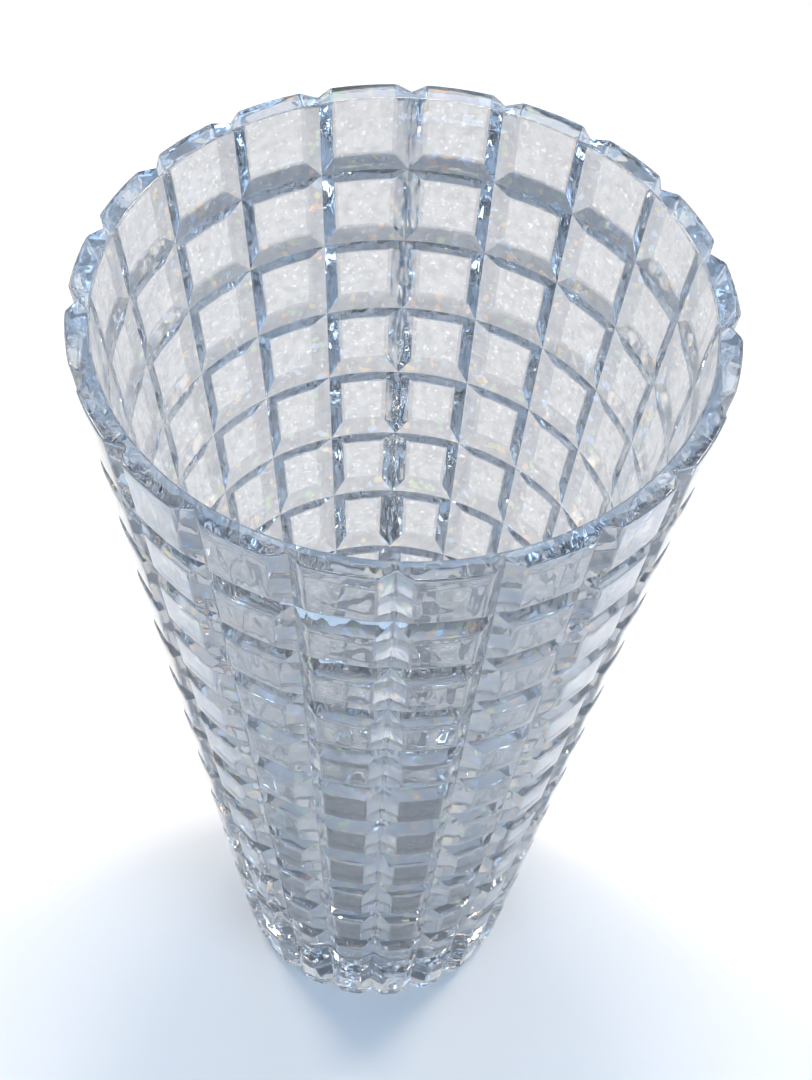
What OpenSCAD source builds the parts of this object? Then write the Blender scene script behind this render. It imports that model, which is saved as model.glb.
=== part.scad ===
// Cut crystal vase: a flared, heavy-walled glass body with a block-cut outside
// and a smooth inside. Upright and level V-grooves cross all over the outer wall
// and leave a grid of low blocks between them.
//
// The real vase is one piece of glass. The nodes are its natural regions, and
// they meet face to face on level planes through the bottoms of level grooves.
// Frame: +Z up, origin at the centre of the foot, millimetres.

/* [Body] */
// Overall height
vase_h = 248; // [247:0.5:251]
// Diameter across the blocks at the rim
rim_d = 152; // [146:1:158]
// Diameter that the outer wall leans down to at the foot
foot_d = 75.8; // [72:0.2:80]
// Wall thickness at the rim, measured level
rim_wall = 5.6; // [5:0.1:6.5]
// Wall thickness where the bowl meets its floor, measured level
low_wall = 8; // [6.5:0.1:9.5]
// Thickness of the glass under the bowl
floor_t = 21; // [16:0.5:26]
// Radius that rounds the bowl's wall into its floor
bowl_r = 10; // [6:0.5:14]
// Polished bevel on both edges of the rim
rim_bevel = 0.5; // [0.3:0.1:0.8]
// Bevel round the bottom edge of the foot
foot_bevel = 0.4; // [0.2:0.1:0.8]

/* [Cut grid] */
// Number of upright grooves round the vase
upright_grooves = 20; // [18:1:22]
// Distance from the rim down to the first level groove
first_groove = 22.2; // [22:0.1:22.6]
// Distance between the first two level grooves
row_pitch = 21.3; // [21.25:0.05:21.35]
// How much shorter each row is than the one above it
row_shrink = 0.2; // [0.19:0.01:0.22]
// Width of every groove at its mouth
groove_w = 7.6; // [7:0.1:8]
// Depth of the upright grooves
groove_d = 2.6; // [2:0.1:2.8]
// How much shallower the level grooves are than the upright ones
level_rise = 0.1; // [0.05:0.05:0.3]

/* [Hidden] */

$fn = 240;
glass_tint = [0.80, 0.86, 0.93, 0.55];

rim_r = rim_d / 2;
foot_r = foot_d / 2;
half_w = groove_w / 2;

// Level grooves counted from 0 at the rim: the last one, and the one that ends each region
last_level = 11;
upper_end = 3;
middle_end = 6;
lower_end = 9;

// Lean of the outer wall from upright, in degrees
lean = atan((rim_r - foot_r) / vase_h);

// Radius of the uncut outer wall at height z
function outer_r(z) = foot_r + (rim_r - foot_r) * z / vase_h;

// Radius of the straight part of the bowl at height z
bowl_rim_r = rim_r - rim_wall;
bowl_low_r = outer_r(floor_t) - low_wall;
bowl_lean = atan((bowl_rim_r - bowl_low_r) / (vase_h - floor_t));
function bowl_wall_r(z) = bowl_low_r + (z - floor_t) * tan(bowl_lean);

// The rounded corner of the bowl is an arc that touches its wall and its floor
corner_z = floor_t + bowl_r;
corner_x = bowl_wall_r(corner_z) - bowl_r / cos(bowl_lean);
corner_steps = 16;
function corner_point(t) = [
    corner_x + bowl_r * sin(t),
    corner_z - bowl_r * cos(t)
];

// Height at which level groove i is centred on the outer wall
function level_z(i) =
    vase_h - first_groove - i * row_pitch + row_shrink * i * (i - 1) / 2;

// A level groove is a V cut square to the leaning wall: its upper edge, bottom, lower edge
function wall_point(z) = [outer_r(z), z];
function upper_edge(i) = wall_point(level_z(i) + half_w * cos(lean));
function lower_edge(i) = wall_point(level_z(i) - half_w * cos(lean));
function bottom(i) =
    wall_point(level_z(i)) + (groove_d - level_rise) * [-cos(lean), sin(lean)];
function bottom_z(i) = bottom(i)[1];

// Point at height z on the lower side of the last level groove, which runs into the foot
function lip_point(z) =
    bottom(last_level)
    + (lower_edge(last_level) - bottom(last_level))
    * (bottom_z(last_level) - z) / (bottom_z(last_level) - lower_edge(last_level)[1]);

// Outside of the wall from the bottom of one level groove down to that of another
function cut_wall_points(upper, lower) = concat(
    [bottom(upper), lower_edge(upper)],
    [
        for (i = [upper + 1 : 1 : lower - 1])
            each [upper_edge(i), bottom(i), lower_edge(i)]
    ],
    [upper_edge(lower), bottom(lower)]
);

// The upright cutters stand this far proud of the glass, and are this wide there
overcut = 1.5;
cutter_half_w = half_w * (groove_d + overcut) / groove_d;

// Outline of the wall between the bottoms of two level grooves
module wall_outline(upper, lower) {
    polygon(concat(
        cut_wall_points(upper, lower),
        [
            [bowl_wall_r(bottom_z(lower)), bottom_z(lower)],
            [bowl_wall_r(bottom_z(upper)), bottom_z(upper)]
        ]
    ));
}

// Outline of the top of the wall, with a small bevel on each edge of the rim
module rim_outline() {
    bevel_z = vase_h - rim_bevel;
    polygon([
        [bowl_wall_r(bevel_z), bevel_z],
        [bowl_wall_r(vase_h) + rim_bevel, vase_h],
        [outer_r(vase_h) - rim_bevel, vase_h],
        wall_point(bevel_z),
        upper_edge(0),
        bottom(0),
        [bowl_wall_r(bottom_z(0)), bottom_z(0)]
    ]);
}

// Outline of the solid foot with the rounded bottom of the bowl in it
module foot_outline() {
    polygon(concat(
        cut_wall_points(lower_end, last_level),
        [
            lip_point(foot_bevel),
            [lip_point(foot_bevel)[0] - foot_bevel, 0],
            [0, 0],
            [0, floor_t]
        ],
        [
            for (i = [0 : corner_steps])
                corner_point(i * (90 - bowl_lean) / corner_steps)
        ],
        [[bowl_wall_r(bottom_z(lower_end)), bottom_z(lower_end)]]
    ));
}

// Outline of a V-cutter whose point is groove_d below the surface, along +X
module cutter_outline() {
    polygon([
        [-groove_d, 0],
        [overcut, -cutter_half_w],
        [overcut, cutter_half_w]
    ]);
}

// One upright groove, which follows the lean of the wall from foot to rim
module upright_groove() {
    run_out = 12;
    translate([foot_r, 0, 0])
        rotate([0, lean, 0])
            translate([0, 0, -run_out])
                linear_extrude(height = vase_h / cos(lean) + 2 * run_out)
                    cutter_outline();
}

// Glass turned from an outline, starting in the middle of a block, with the upright
// grooves cut into it
module cut_glass() {
    color(glass_tint)
        difference() {
            rotate([0, 0, 180 / upright_grooves])
                rotate_extrude()
                    children();
            for (i = [0 : upright_grooves - 1])
                rotate([0, 0, i * 360 / upright_grooves])
                    upright_groove();
        }
}

// Top row of blocks, with the flat polished rim that the upright grooves notch
module rim_band() {
    cut_glass() rim_outline();
}

// Three rows of blocks under the rim band
module upper_wall() {
    cut_glass() wall_outline(0, upper_end);
}

// Three rows of blocks at half height
module middle_wall() {
    cut_glass() wall_outline(upper_end, middle_end);
}

// Three rows of blocks above the foot
module lower_wall() {
    cut_glass() wall_outline(middle_end, lower_end);
}

// Solid foot, the floor of the bowl and the last rows of blocks
module foot() {
    cut_glass() foot_outline();
}

rim_band();
upper_wall();
middle_wall();
lower_wall();
foot();
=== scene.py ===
"""Cut crystal vase on a pale floor, seen from above.

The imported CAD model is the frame. The vase is one piece of glass, so one closed mesh,
built here from the same sizes as the CAD model, stands for all five CAD nodes.
"""

import math

import bmesh
import bpy
from mathutils import Matrix, Vector, noise


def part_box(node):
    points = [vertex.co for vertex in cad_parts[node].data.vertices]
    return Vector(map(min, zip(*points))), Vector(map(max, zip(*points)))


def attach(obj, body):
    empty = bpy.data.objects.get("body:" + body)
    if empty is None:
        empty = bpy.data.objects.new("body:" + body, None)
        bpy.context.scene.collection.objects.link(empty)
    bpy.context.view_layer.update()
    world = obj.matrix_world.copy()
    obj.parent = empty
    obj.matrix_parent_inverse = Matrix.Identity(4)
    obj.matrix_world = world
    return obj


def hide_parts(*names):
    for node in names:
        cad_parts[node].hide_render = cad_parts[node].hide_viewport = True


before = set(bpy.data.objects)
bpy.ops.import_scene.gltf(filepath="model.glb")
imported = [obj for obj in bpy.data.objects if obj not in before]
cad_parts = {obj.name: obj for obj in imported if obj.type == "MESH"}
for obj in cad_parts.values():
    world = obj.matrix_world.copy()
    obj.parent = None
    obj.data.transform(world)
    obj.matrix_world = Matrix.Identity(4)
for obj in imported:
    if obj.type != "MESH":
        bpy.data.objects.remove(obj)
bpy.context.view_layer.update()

# ---------------------------------------------------------------- sizes, in metres
MM = 0.001

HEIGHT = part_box("rim_band")[1].z
RIM_R = 76.0 * MM
FOOT_R = 37.9 * MM
RIM_WALL = 5.6 * MM
LOW_WALL = 8.0 * MM
FLOOR_T = 21.0 * MM
BOWL_CORNER_R = 10.0 * MM
RIM_ROUND = 0.6 * MM
FOOT_BEVEL = 0.4 * MM

COLUMNS = 20
LEVEL_GROOVES = 12
FIRST_GROOVE = 22.2 * MM
ROW_PITCH = 21.3 * MM
ROW_SHRINK = 0.2 * MM
HALF_W = 3.8 * MM
UPRIGHT_D = 2.6 * MM
LEVEL_D = 2.5 * MM

# A groove's edge is polished round from this far inside its mouth to this far outside
EDGE = 0.6 * MM
# Distances from a groove's middle at which its surface has points
OFFSETS = (0.0, HALF_W - EDGE, HALF_W - EDGE / 2, HALF_W, HALF_W + EDGE / 2, HALF_W + EDGE)

# Steps across a block's face, round the vase and up it
FACE_STEPS_ROUND = 5
FACE_STEPS_UP = 4
RIM_ROUND_STEPS = 5
BOWL_STEPS_UP = 44
BOWL_CORNER_STEPS = 14
FLAT_RINGS = 5

# How far hand polishing leaves a surface from true, and over what length
OUTSIDE_WAVE = 0.010 * MM
INSIDE_WAVE = 0.022 * MM
WAVE_LENGTH = 10.0 * MM
# Where in the noise the waves of each side are taken from
OUTSIDE_SEED = 11.0
INSIDE_SEED = 5.0

# Edges that turn more than this, in degrees, are shaded sharp
SHARP_ANGLE = 21
# Passes that find where the cut wall meets a level plane
LEVEL_PASSES = 4

# ---------------------------------------------------------------- camera
# Distance and height angle from the middle of the rim, and how the camera is then turned
CAMERA_DISTANCE = 7.6861 * RIM_R
CAMERA_ELEVATION = math.radians(46.561)
CAMERA_AZIMUTH = math.radians(-0.873)
CAMERA_TILT = math.radians(5.002)
CAMERA_PAN = math.radians(0.286)
CAMERA_ROLL = math.radians(-3.035)
# Sensor along the picture's longer side, and focal length, in camera millimetres
SENSOR = 36.0
LENS = 260 / 3
NEAREST = 10 * MM
FARTHEST = 50.0

# ---------------------------------------------------------------- glass, floor and light
# Glass tones darker than clear crystal: part the glass's own grey tint, part painted shade that
# darkens all that is seen through the glass
CLEAR_GLASS_WITH_PAINTED_SHADE = (0.63, 0.65, 0.68)
CLOUDY_GLASS_WITH_PAINTED_SHADE = (0.52, 0.54, 0.565)
# Painted sparkle: bright flecks in the base colour that stand in for glints of light seen in
# the glass
PAINTED_SPARKLE = (0.88, 0.91, 0.94)
# Painted shade: a darker copy of the glass tone for the groove facets, so that they look darker
# than the faces
FACET_PAINTED_SHADE = (0.40, 0.42, 0.45)
# How fine the clouds and the painted sparkles are, and the noise values between which each
# fades in
CLOUD_SCALE = 420.0
CLOUD_FROM, CLOUD_TO = 0.36, 0.62
PAINTED_SPARKLE_SCALE = 700.0
SPARKLE_FROM, SPARKLE_TO = 0.65, 0.70
# Painted glints: tints that stand in for the colours into which cut facets split light
PAINTED_FIRE_GLINTS = ((0.74, 0.50, 0.38), (0.44, 0.60, 0.42), (0.68, 0.60, 0.40), (0.46, 0.60, 0.84))
FIRE_CELLS = 620.0
# The share of cells below FIRE_START has only the painted facet shade, and each glint tint
# takes FIRE_WIDTH of the rest
FIRE_START = 0.88
FIRE_WIDTH = 0.03

GLASS_IOR = 1.57
# Fine polishing waves: how fine, and how strongly they bend the light
POLISH_SCALE = 240.0
POLISH_STRENGTH = 0.3

PALE_FLOOR = (0.9, 0.9, 0.9)
FLOOR_ROUGHNESS = 0.9
FLOOR_Z = -0.2 * MM
FLOOR_R = 7.0
FLOOR_SIDES = 96

# Colours of the room light, at the horizon and overhead, and of the lamps. The sine of the
# height angle at which the overhead colour is reached
HORIZON = (0.52, 0.56, 0.62)
ZENITH = (0.13, 0.15, 0.18)
ZENITH_FROM = 0.9
WARM_WHITE = (1.0, 0.88, 0.74)
COOL_WHITE = (0.52, 0.73, 1.0)

# Where the spotlights point, how wide their beams are in degrees, how much of a beam fades
# out at its edge, how large the lamps are, and how far away they stand
POOL_MIDDLE = (0, 0.17, 0)
POOL_ANGLE = 38
POOL_FADE = 0.7
SPOT_R = 0.16
SPOT_DISTANCE = 1.3

# Most bounces that light makes in the glass and on the floor, and the brightest that one
# bounced sample may be
GLASS_BOUNCES = 28
FLOOR_BOUNCES = 3
BRIGHTEST_BOUNCE = 8.0

# ---------------------------------------------------------------- profile of the vase
LEAN = math.atan((RIM_R - FOOT_R) / HEIGHT)


def outer_r(z):
    """Radius of the uncut outer wall at height z."""
    return FOOT_R + (RIM_R - FOOT_R) * z / HEIGHT


BOWL_RIM_R = RIM_R - RIM_WALL
BOWL_LOW_R = outer_r(FLOOR_T) - LOW_WALL
BOWL_LEAN = math.atan((BOWL_RIM_R - BOWL_LOW_R) / (HEIGHT - FLOOR_T))


def bowl_r(z):
    """Radius of the straight part of the bowl at height z."""
    return BOWL_LOW_R + (z - FLOOR_T) * math.tan(BOWL_LEAN)


def level_z(i):
    """Height at which level groove i, counted from the rim, is centred on the wall."""
    return HEIGHT - FIRST_GROOVE - i * ROW_PITCH + ROW_SHRINK * i * (i - 1) / 2


def groove_depth(distance, full_depth):
    """Depth of a V-groove at a distance from its middle, with its edges rounded."""
    slope = full_depth / HALF_W
    if distance < HALF_W - EDGE:
        return full_depth - slope * distance
    if distance < HALF_W + EDGE:
        return slope * (HALF_W + EDGE - distance) ** 2 / (4 * EDGE)
    return 0.0


def level_depth(z):
    """Depth of the level grooves at height z on the uncut wall."""
    return max(groove_depth(abs(z - level_z(i)) / math.cos(LEAN), LEVEL_D)
               for i in range(LEVEL_GROOVES))


def wall_rows():
    """Rows of the cut wall from the rim down to the last groove's bottom, as
    (height on the uncut wall, whether the row is in a groove)."""
    rows = []
    face_top = HEIGHT - RIM_ROUND
    for i in range(LEVEL_GROOVES):
        z = level_z(i)
        mouth = OFFSETS[-1] * math.cos(LEAN)
        for step in range(1, FACE_STEPS_UP):
            rows.append((face_top + (z + mouth - face_top) * step / FACE_STEPS_UP, False))
        rows += [(z + offset * math.cos(LEAN), True) for offset in reversed(OFFSETS)]
        if i < LEVEL_GROOVES - 1:
            rows += [(z - offset * math.cos(LEAN), True) for offset in OFFSETS[1:]]
        face_top = z - mouth
    return rows


def stations(r):
    """Stations (angle, distance from the nearest upright groove's middle) round one
    column of the wall at radius r, from one groove's bottom to just before the next."""
    pitch = 2 * math.pi / COLUMNS
    near = [(math.asin(offset / r), offset) for offset in OFFSETS]
    mouth = near[-1][0]
    face = [(mouth + (pitch - 2 * mouth) * step / FACE_STEPS_ROUND, OFFSETS[-1])
            for step in range(1, FACE_STEPS_ROUND)]
    return near + face + [(pitch - angle, offset) for angle, offset in reversed(near[1:])]


STATIONS = len(stations(RIM_R))
ROUND = STATIONS * COLUMNS


def bowl_outline():
    """Points (radius, height) of the bowl, from under the rim to its floor's edge."""
    corner_z = FLOOR_T + BOWL_CORNER_R
    corner_x = bowl_r(corner_z) - BOWL_CORNER_R / math.cos(BOWL_LEAN)
    turn = math.pi / 2 - BOWL_LEAN
    join_z = corner_z - BOWL_CORNER_R * math.cos(turn)
    top_z = HEIGHT - RIM_ROUND
    points = []
    for i in range(BOWL_STEPS_UP):
        z = top_z + (join_z - top_z) * i / BOWL_STEPS_UP
        points.append((bowl_r(z), z))
    for i in range(BOWL_CORNER_STEPS + 1):
        t = turn * (1 - i / BOWL_CORNER_STEPS)
        points.append((corner_x + BOWL_CORNER_R * math.sin(t),
                       corner_z - BOWL_CORNER_R * math.cos(t)))
    return points


# ---------------------------------------------------------------- mesh
def polar(r, angle, z):
    """Point at a radius, an angle round the vase and a height."""
    return Vector((r * math.cos(angle), r * math.sin(angle), z))


def wave(point, size, seed):
    """Small smooth departure from true at a point."""
    return size * noise.noise(point / WAVE_LENGTH + Vector((seed, 2.3 * seed, 0.7 * seed)))


def wall_ring(bm, z):
    """Ring of the cut wall at height z on the uncut wall. Depth is square to the wall."""
    ring = []
    for column in range(COLUMNS):
        for turn, distance in stations(outer_r(z)):
            angle = column * 2 * math.pi / COLUMNS + turn
            depth = max(groove_depth(distance, UPRIGHT_D), level_depth(z))
            point = polar(outer_r(z), angle, z)
            depth += abs(wave(point, OUTSIDE_WAVE, OUTSIDE_SEED))
            ring.append(bm.verts.new(
                polar(outer_r(z) - depth * math.cos(LEAN), angle, z + depth * math.sin(LEAN))))
    return ring


def flat_ring(bm, level, inset):
    """Ring of the cut wall where it meets the level plane at a height, moved in by inset."""
    ring = []
    for column in range(COLUMNS):
        for turn, distance in stations(outer_r(level)):
            angle = column * 2 * math.pi / COLUMNS + turn
            z = level
            for _ in range(LEVEL_PASSES):
                depth = max(groove_depth(distance, UPRIGHT_D), level_depth(z))
                z = level - depth * math.sin(LEAN)
            r = outer_r(z) - depth * math.cos(LEAN) - inset
            ring.append(bm.verts.new(polar(r, angle, level)))
    return ring


def round_ring(bm, r, z, ripple):
    """Round ring at height z, with waves of a size."""
    ring = []
    for i in range(ROUND):
        angle = 2 * math.pi * i / ROUND
        out = r + wave(polar(r, angle, z), ripple, INSIDE_SEED)
        ring.append(bm.verts.new(polar(out, angle, z)))
    return ring


# Material slots
FACE, FACET = 0, 1
# Strips from a groove's middle to the end of its rounded edge
HALF_OF_FLANKS = len(OFFSETS) - 1


def in_upright_groove(i):
    """Whether the strip from station i round the vase to the next lies in an upright groove."""
    station = i % STATIONS
    return station < HALF_OF_FLANKS or station >= STATIONS - HALF_OF_FLANKS


def bridge(bm, upper, lower, facets=False):
    """Join two rings. With facets, the strips in upright grooves count as cut facets."""
    for i in range(ROUND):
        k = (i + 1) % ROUND
        face = bm.faces.new((upper[i], lower[i], lower[k], upper[k]))
        face.material_index = FACET if facets and in_upright_groove(i) else FACE


def mitred_bridge(bm, upper, lower):
    """Join two rings in a level groove. Each face is split from its shallowest corner.
    Where two grooves cross, that is along the mitre between them."""
    for i in range(ROUND):
        k = (i + 1) % ROUND
        quad = (upper[i], lower[i], lower[k], upper[k])
        first = max(range(4), key=lambda n: quad[n].co.xy.length - outer_r(quad[n].co.z))
        a, b, c, d = (quad[(first + n) % 4] for n in range(4))
        for corners in ((a, b, c), (a, c, d)):
            bm.faces.new(corners).material_index = FACET


def close(bm, ring, middle):
    """Fill a ring with a fan of triangles round its middle."""
    centre = bm.verts.new(middle)
    for i in range(ROUND):
        bm.faces.new((ring[(i + 1) % ROUND], ring[i], centre))


def in_groove_cells(rows):
    """For each pair of rows, whether the strip between them lies in a level groove."""
    return [a[1] and b[1] for a, b in zip(rows, rows[1:])]


def outside(bm):
    """Rings of the rim's outer edge, the cut wall and the foot's edge, joined up."""
    top = []
    for step in range(RIM_ROUND_STEPS + 1):
        t = math.pi / 2 * step / RIM_ROUND_STEPS
        top.append(flat_ring(bm, HEIGHT - RIM_ROUND * (1 - math.cos(t)),
                             RIM_ROUND * (1 - math.sin(t))))
    rows = wall_rows()
    wall = [wall_ring(bm, z) for z, _ in rows]
    low = [flat_ring(bm, FOOT_BEVEL, 0.0), flat_ring(bm, 0.0, FOOT_BEVEL)]
    for upper, lower in zip(top, top[1:]):
        bridge(bm, upper, lower)
    bridge(bm, top[-1], wall[0], facets=True)
    for upper, lower, groove in zip(wall, wall[1:], in_groove_cells(rows)):
        if groove:
            mitred_bridge(bm, upper, lower)
        else:
            bridge(bm, upper, lower, facets=True)
    mitred_bridge(bm, wall[-1], low[0])
    bridge(bm, low[0], low[1])
    return top[0], low[-1]


def inside(bm):
    """Rings of the rim's inner edge, the bowl and its floor, joined up."""
    rings = []
    for step in range(RIM_ROUND_STEPS):
        t = math.pi / 2 * step / RIM_ROUND_STEPS
        rings.append(round_ring(bm, bowl_r(HEIGHT) + RIM_ROUND * (1 - math.sin(t)),
                                HEIGHT - RIM_ROUND * (1 - math.cos(t)), 0.0))
    outline = bowl_outline()
    rings += [round_ring(bm, r, z, INSIDE_WAVE if 0 < i < BOWL_STEPS_UP else 0.0)
              for i, (r, z) in enumerate(outline)]
    floor_edge = outline[-1][0]
    rings += [round_ring(bm, floor_edge * (1 - step / FLAT_RINGS), FLOOR_T, 0.0)
              for step in range(1, FLAT_RINGS)]
    for upper, lower in zip(rings, rings[1:]):
        bridge(bm, lower, upper)
    close(bm, rings[-1], (0, 0, FLOOR_T))
    return rings[0]


def vase_mesh():
    """The whole vase as one closed mesh."""
    bm = bmesh.new()
    rim_outside, foot_edge = outside(bm)
    rim_inside = inside(bm)
    bridge(bm, rim_inside, rim_outside)
    ring = foot_edge
    for step in range(1, FLAT_RINGS):
        inner = round_ring(bm, (FOOT_R - 2 * UPRIGHT_D) * (1 - step / FLAT_RINGS), 0.0, 0.0)
        bridge(bm, ring, inner)
        ring = inner
    close(bm, ring, (0, 0, 0))
    bmesh.ops.recalc_face_normals(bm, faces=bm.faces)
    mesh = bpy.data.meshes.new("vase_glass")
    bm.to_mesh(mesh)
    bm.free()
    mesh.shade_smooth()
    mesh.set_sharp_from_angle(angle=math.radians(SHARP_ANGLE))
    return mesh


# ---------------------------------------------------------------- materials
class Tree:
    """Shorthand for building chains of shader nodes."""

    def __init__(self, owner):
        owner.use_nodes = True
        self.nodes, self.links = owner.node_tree.nodes, owner.node_tree.links
        self.nodes.clear()

    def add(self, kind):
        """New node, named without its ShaderNode prefix."""
        return self.nodes.new("ShaderNode" + kind)

    def put(self, socket, value):
        """Link another node's socket to this one, or set its value."""
        if isinstance(value, bpy.types.NodeSocket):
            self.links.new(value, socket)
        else:
            socket.default_value = value

    def mix(self, share, a, b):
        """Colour that goes from a to b as share goes from 0 to 1."""
        node = self.add("Mix")
        node.data_type = "RGBA"
        self.put(node.inputs["Factor"], share)
        colours = [i for i in node.inputs if i.type == "RGBA"]
        for socket, value in zip(colours, (a, b)):
            self.put(socket, value if isinstance(value, bpy.types.NodeSocket) else (*value, 1))
        return next(o for o in node.outputs if o.type == "RGBA")

    def fade(self, value, low, high):
        """0 where value is at low, 1 at high, and smooth between."""
        node = self.add("MapRange")
        node.interpolation_type = "SMOOTHSTEP"
        self.put(node.inputs["Value"], value)
        node.inputs["From Min"].default_value = low
        node.inputs["From Max"].default_value = high
        return node.outputs[0]

    def axes(self, vector):
        """The X, Y and Z parts of a vector."""
        node = self.add("SeparateXYZ")
        self.links.new(vector, node.inputs[0])
        return node.outputs

    def noise(self, vector, scale, detail):
        node = self.add("TexNoise")
        node.inputs["Scale"].default_value = scale
        node.inputs["Detail"].default_value = detail
        self.links.new(vector, node.inputs["Vector"])
        return node.outputs

    def steps(self, value, tones):
        """Colour in steps: each (start, colour) holds until the next start."""
        ramp = self.add("ValToRGB")
        ramp.color_ramp.interpolation = "CONSTANT"
        while len(ramp.color_ramp.elements) < len(tones):
            ramp.color_ramp.elements.new(0.5)
        for element, (position, tone) in zip(ramp.color_ramp.elements, tones):
            element.position = position
            element.color = (*tone, 1)
        self.put(ramp.inputs["Fac"], value)
        return ramp.outputs["Color"]


def crystal(name, tint, streak, wave_height):
    """Lead crystal with polishing waves of a height, stretched up the wall by streak.
    tint makes the base colour from the tree and the place on the object."""
    material = bpy.data.materials.new(name)
    t = Tree(material)
    shader = t.add("BsdfPrincipled")
    shader.inputs["Roughness"].default_value = 0.0
    shader.inputs["IOR"].default_value = GLASS_IOR
    shader.inputs["Transmission Weight"].default_value = 1.0
    place = t.add("TexCoord").outputs["Object"]
    t.put(shader.inputs["Base Color"], tint(t, place))
    stretch = t.add("Mapping")
    stretch.inputs["Scale"].default_value = (1, 1, 1 / streak)
    t.links.new(place, stretch.inputs["Vector"])
    bump = t.add("Bump")
    bump.inputs["Strength"].default_value = POLISH_STRENGTH
    bump.inputs["Distance"].default_value = wave_height
    polish = t.noise(stretch.outputs[0], POLISH_SCALE, 1.0)["Fac"]
    t.links.new(polish, bump.inputs["Height"])
    t.links.new(bump.outputs["Normal"], shader.inputs["Normal"])
    t.links.new(shader.outputs["BSDF"], t.add("OutputMaterial").inputs["Surface"])
    return material


def clouds_and_painted_sparkle(t, place):
    """Faint clouds in the glass, with small painted bright flecks that stand in for sparkles of
    light.
    """
    cloud = t.fade(t.noise(place, CLOUD_SCALE, 5.0)["Fac"], CLOUD_FROM, CLOUD_TO)
    glass = t.mix(cloud, CLOUDY_GLASS_WITH_PAINTED_SHADE, CLEAR_GLASS_WITH_PAINTED_SHADE)
    # Painted sparkle: bright flecks where the noise runs high
    painted_sparkle = t.fade(t.noise(place, PAINTED_SPARKLE_SCALE, 1.0)["Fac"], SPARKLE_FROM, SPARKLE_TO)
    return t.mix(painted_sparkle, glass, PAINTED_SPARKLE)


def facet_painted_shade_and_glints(t, place):
    """Facet glass darkened as painted shade, with a few small painted coloured glints."""
    cells = t.add("TexVoronoi")
    cells.inputs["Scale"].default_value = FIRE_CELLS
    t.links.new(place, cells.inputs["Vector"])
    pick, _, _ = t.axes(cells.outputs["Color"])
    # Painted shade on most cells, painted coloured glints on the rest
    steps = [(0.0, FACET_PAINTED_SHADE)]
    steps += [(FIRE_START + i * FIRE_WIDTH, tone) for i, tone in enumerate(PAINTED_FIRE_GLINTS)]
    return t.steps(pick, steps)


def pale_floor():
    """Plain matt floor."""
    material = bpy.data.materials.new("pale_floor")
    t = Tree(material)
    shader = t.add("BsdfPrincipled")
    shader.inputs["Roughness"].default_value = FLOOR_ROUGHNESS
    shader.inputs["Base Color"].default_value = (*PALE_FLOOR, 1)
    t.links.new(shader.outputs["BSDF"], t.add("OutputMaterial").inputs["Surface"])
    return material


# ---------------------------------------------------------------- studio
def build_floor():
    """Plain round floor, just under the foot so that their faces don't coincide."""
    bm = bmesh.new()
    bmesh.ops.create_circle(bm, cap_ends=True, segments=FLOOR_SIDES, radius=FLOOR_R)
    mesh = bpy.data.meshes.new("floor")
    bm.to_mesh(mesh)
    bm.free()
    mesh.materials.append(pale_floor())
    floor = bpy.data.objects.new("floor", mesh)
    floor.location.z = FLOOR_Z
    bpy.context.collection.objects.link(floor)


def build_world():
    """Plain room light: one tone at the horizon that turns smoothly to another overhead."""
    world = bpy.data.worlds.new("studio")
    bpy.context.scene.world = world
    t = Tree(world)
    up = t.axes(t.add("TexCoord").outputs["Generated"])[2]
    background = t.add("Background")
    t.put(background.inputs["Color"], t.mix(t.fade(up, 0.0, ZENITH_FROM), HORIZON, ZENITH))
    t.links.new(background.outputs[0], t.add("OutputWorld").inputs["Surface"])


def place_lamp(name, data, azimuth, elevation, distance, aim, power, colour):
    """Put a lamp at an azimuth and elevation, in degrees, and turn it to face aim."""
    a, e = math.radians(azimuth), math.radians(elevation)
    away = Vector((math.cos(a) * math.cos(e), math.sin(a) * math.cos(e), math.sin(e)))
    data.energy = power
    data.color = colour
    lamp = bpy.data.objects.new(name, data)
    bpy.context.collection.objects.link(lamp)
    lamp.location = Vector(aim) + away * distance
    lamp.rotation_euler = away.to_track_quat("Z", "Y").to_euler()


def softbox(name, azimuth, elevation, distance, size, power, colour):
    """A rectangular lamp of a width and height that faces the middle of the vase."""
    data = bpy.data.lights.new(name, "AREA")
    data.shape = "RECTANGLE"
    data.size, data.size_y = size
    place_lamp(name, data, azimuth, elevation, distance, (0, 0, HEIGHT / 2), power, colour)


def soft_spot(name, azimuth, elevation, power):
    """A large soft spotlight on the floor where the vase stands and just behind it."""
    data = bpy.data.lights.new(name, "SPOT")
    data.spot_size = math.radians(POOL_ANGLE)
    data.spot_blend = POOL_FADE
    data.shadow_soft_size = SPOT_R
    place_lamp(name, data, azimuth, elevation, SPOT_DISTANCE, POOL_MIDDLE, power, WARM_WHITE)


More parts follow.
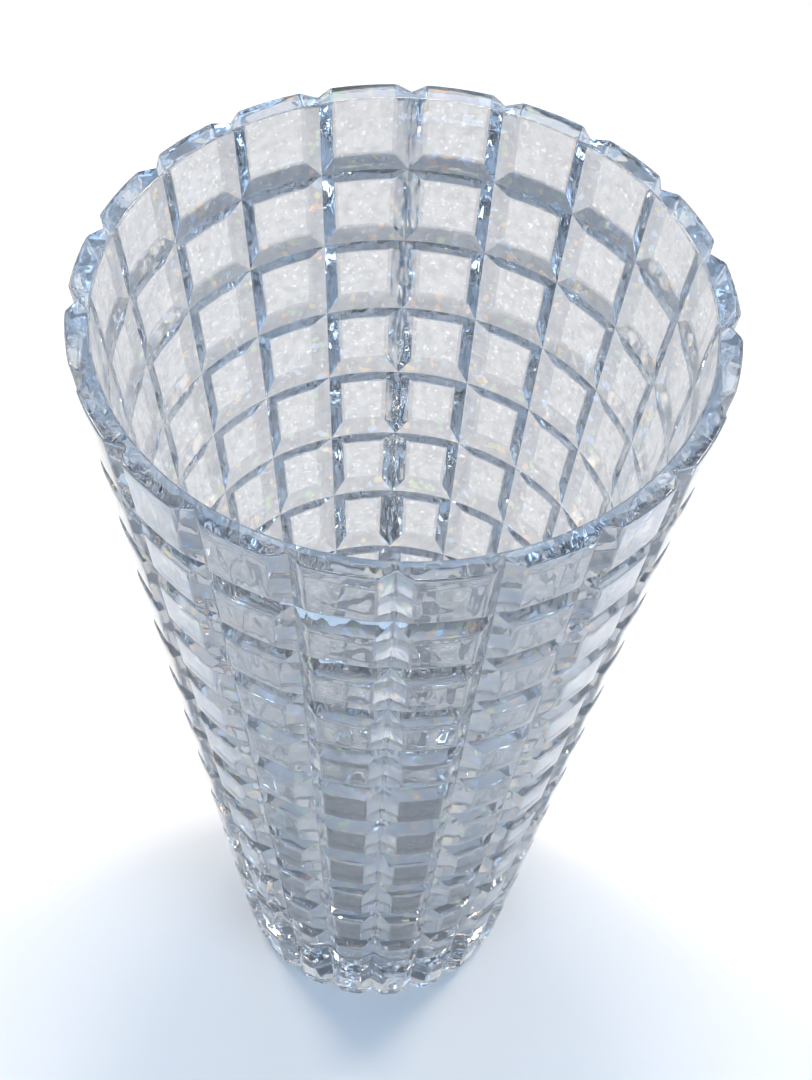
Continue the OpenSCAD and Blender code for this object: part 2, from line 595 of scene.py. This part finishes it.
def build_lights():
    """Three warm spotlights from above, and four cool softboxes round the vase."""
    soft_spot("key_top", 90, 86, 26)
    soft_spot("key_left", 150, 58, 26)
    soft_spot("key_right", 25, 58, 29)
    softbox("cool_left", 165, 24, 1.5, (0.9, 0.6), 2, COOL_WHITE)
    softbox("cool_back", 90, 48, 1.9, (1.0, 0.4), 4, COOL_WHITE)
    softbox("cool_low", -115, 7, 1.0, (1.2, 0.25), 10, COOL_WHITE)
    softbox("cool_low_right", -40, 10, 1.0, (0.6, 0.3), 7, COOL_WHITE)


def build_camera():
    """Camera that looks down into the vase from in front of it."""
    data = bpy.data.cameras.new("camera")
    data.sensor_width = SENSOR
    data.lens = LENS
    data.clip_start = NEAREST
    data.clip_end = FARTHEST
    camera = bpy.data.objects.new("camera", data)
    bpy.context.collection.objects.link(camera)
    back = Vector((math.sin(CAMERA_AZIMUTH) * math.cos(CAMERA_ELEVATION),
                   -math.cos(CAMERA_AZIMUTH) * math.cos(CAMERA_ELEVATION),
                   math.sin(CAMERA_ELEVATION)))
    right = Vector((math.cos(CAMERA_AZIMUTH), math.sin(CAMERA_AZIMUTH), 0))
    facing = Matrix((right, back.cross(right), back)).transposed()
    facing = facing @ Matrix.Rotation(-CAMERA_PAN, 3, "Y")
    facing = facing @ Matrix.Rotation(-CAMERA_TILT, 3, "X")
    facing = facing @ Matrix.Rotation(-CAMERA_ROLL, 3, "Z")
    place = Vector((0, 0, HEIGHT)) + back * CAMERA_DISTANCE
    camera.matrix_world = Matrix.Translation(place) @ facing.to_4x4()
    bpy.context.scene.camera = camera


def set_light_paths():
    """Cut glass needs many bounces before a ray leaves it."""
    cycles = bpy.context.scene.cycles
    cycles.max_bounces = GLASS_BOUNCES
    cycles.transmission_bounces = GLASS_BOUNCES
    cycles.glossy_bounces = GLASS_BOUNCES
    cycles.diffuse_bounces = FLOOR_BOUNCES
    cycles.sample_clamp_indirect = BRIGHTEST_BOUNCE
    bpy.context.scene.view_settings.view_transform = "Standard"


# ---------------------------------------------------------------- the scene
vase = bpy.data.objects.new("vase_glass", vase_mesh())
bpy.context.collection.objects.link(vase)
# The main glass: its tone is partly painted shade, and its bright flecks are painted sparkle
vase.data.materials.append(crystal("lead_crystal_painted_shade_and_sparkle", clouds_and_painted_sparkle, streak=5.0,
                                  wave_height=0.25 * MM))
# The facet glass: its darker tone is painted shade, and its coloured flecks are painted glints
vase.data.materials.append(crystal("cut_facets_painted_shade_and_glints", facet_painted_shade_and_glints, streak=3.0,
                                  wave_height=0.6 * MM))
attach(vase, "root")
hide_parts("rim_band", "upper_wall", "middle_wall", "lower_wall", "foot")

build_floor()
build_world()
build_lights()
build_camera()
set_light_paths()
